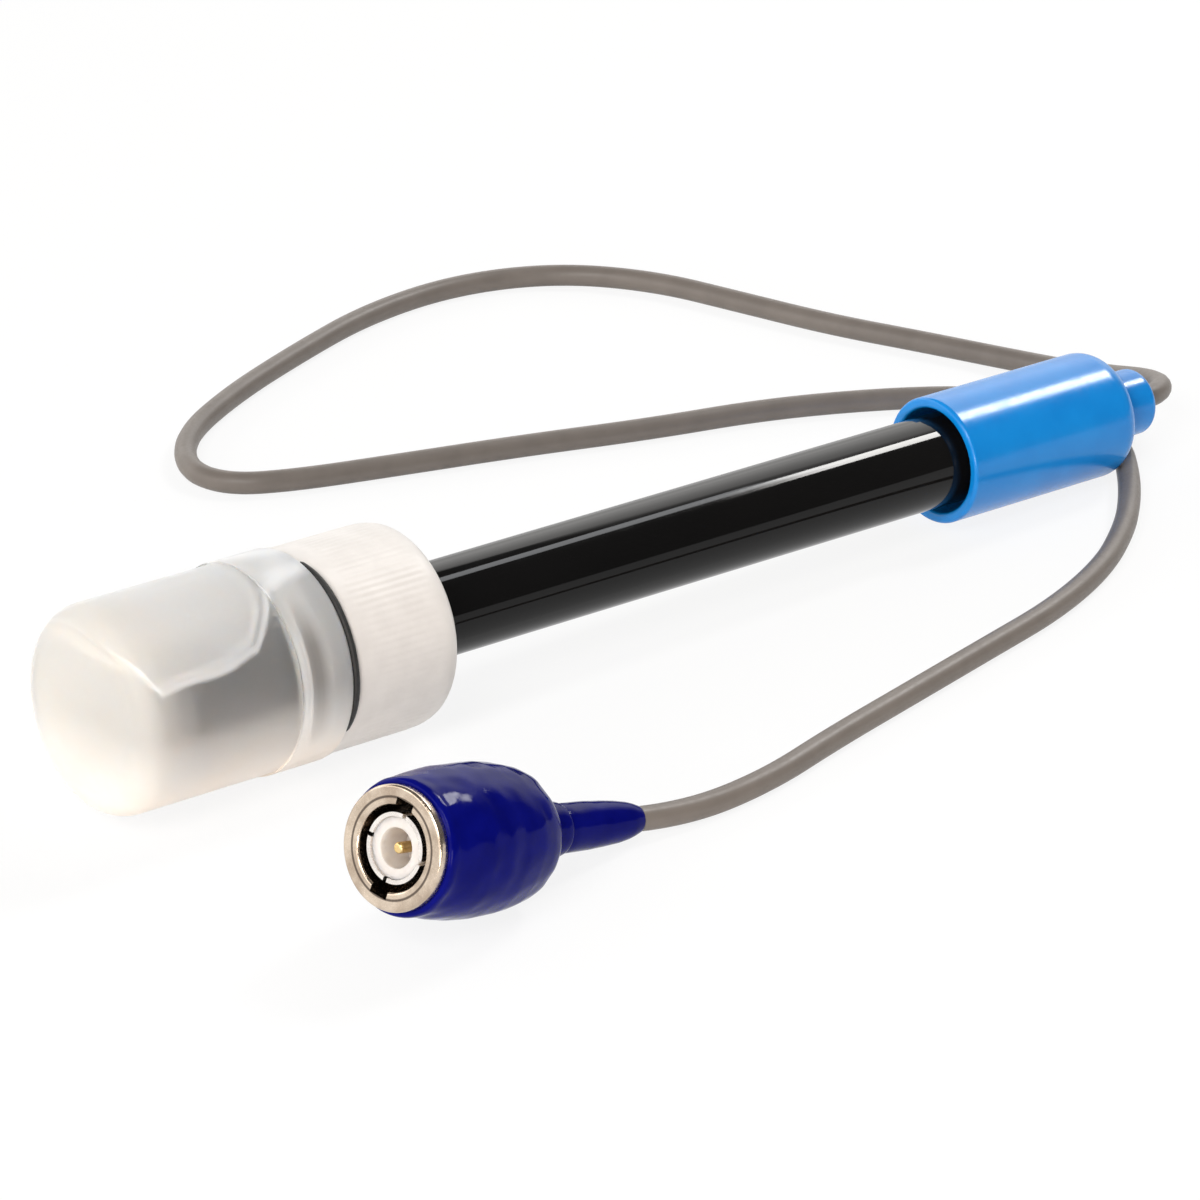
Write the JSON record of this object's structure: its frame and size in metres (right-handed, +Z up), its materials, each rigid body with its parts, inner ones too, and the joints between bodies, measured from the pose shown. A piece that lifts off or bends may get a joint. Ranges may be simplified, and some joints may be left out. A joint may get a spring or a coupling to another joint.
{
  "type": "ph electrode",
  "caption": "Combination pH electrode with a storage bottle on its tip, a moulded head and a thin coaxial cable that ends in a bayonet plug with a rubber grip.",
  "frame": {"origin": "on the bench, below the middle of the probe and its bottle", "axes": "+X runs along the probe from the bottle to the cable, +Z is up from the bench, +Y is square to both"},
  "size_m": [0.1828, 0.1627, 0.0273],
  "materials": {
    "black_epoxy": "glossy",
    "clear_glass": "clear",
    "silver": "satin",
    "potting": "matt",
    "ceramic": "matt",
    "blue_plastic": "glossy",
    "frosted_plastic": "frosted",
    "white_plastic": "satin",
    "black_rubber": "matt",
    "blue_rubber": "satin",
    "nickel": "polished",
    "bronze": "satin",
    "spring_steel": "satin",
    "white_fluoropolymer": "satin",
    "gold": "polished",
    "grey_jacket": "satin",
    "copper": "satin"
  },
  "bodies": {
    "electrode": {"shaft": "black_epoxy", "glass_stem": "clear_glass", "measuring_wire": "silver", "reference_wire": "silver", "tip_seal": "potting", "reference_junction": "ceramic", "stem_stopper": "black_rubber", "potting_plug": "potting", "head_cap": "blue_plastic", "cable_core": "copper", "shield_lead": "copper", "cable": "grey_jacket", "strain_relief": "blue_rubber", "plug_body": "nickel", "plug_gasket": "black_rubber", "insulator": "white_fluoropolymer", "centre_pin": "gold", "plug_core": "copper", "crimp_ferrule": "nickel", "spring_washer": "spring_steel"},
    "bottle_ring": {"seal_ring": "black_rubber"},
    "bottle_cap": {"screw_cap": "white_plastic"},
    "bottle_gasket": {"vial_gasket": "black_rubber"},
    "bottle": {"vial": "frosted_plastic"},
    "nut_ring": {"slip_ring": "bronze"},
    "nut": {"coupling_nut": "nickel", "plug_grip": "blue_rubber"}
  },
  "joints": [
    {"name": "bottle_pull", "type": "slide", "parent": "electrode", "child": "bottle_ring", "axis": [-0.9993, 0, 0.0382], "range_m": [0, 0.075]},
    {"name": "cap_turn", "type": "hinge", "parent": "bottle_ring", "child": "bottle_cap", "pos_m": [-0.042, 0, 0.01286], "axis": [-0.9993, 0, 0.0382], "continuous": true},
    {"name": "vial_travel", "type": "slide", "parent": "bottle_cap", "child": "bottle_gasket", "axis": [-0.9993, 0, 0.0382], "range_m": [0, 0.0046]},
    {"name": "vial_turn", "type": "hinge", "parent": "bottle_gasket", "child": "bottle", "pos_m": [-0.05544, 0, 0.01338], "axis": [-0.9993, 0, 0.0382], "range_deg": [0, 540]},
    {"name": "nut_slide", "type": "slide", "parent": "electrode", "child": "nut_ring", "axis": [-0.9461, -0.1617, 0.2807], "range_m": [0, 0.0012], "stiffness_N_per_m": 3000, "deforming": ["spring_washer"]},
    {"name": "nut_turn", "type": "hinge", "parent": "nut_ring", "child": "nut", "pos_m": [-0.06656, -0.04726, 0.0099], "axis": [-0.9461, -0.1617, 0.2807], "continuous": true}
  ],
  "couplings": [
    {"joint": "vial_travel", "follows": "vial_turn", "m_per_rad": 0.00047746}
  ]
}
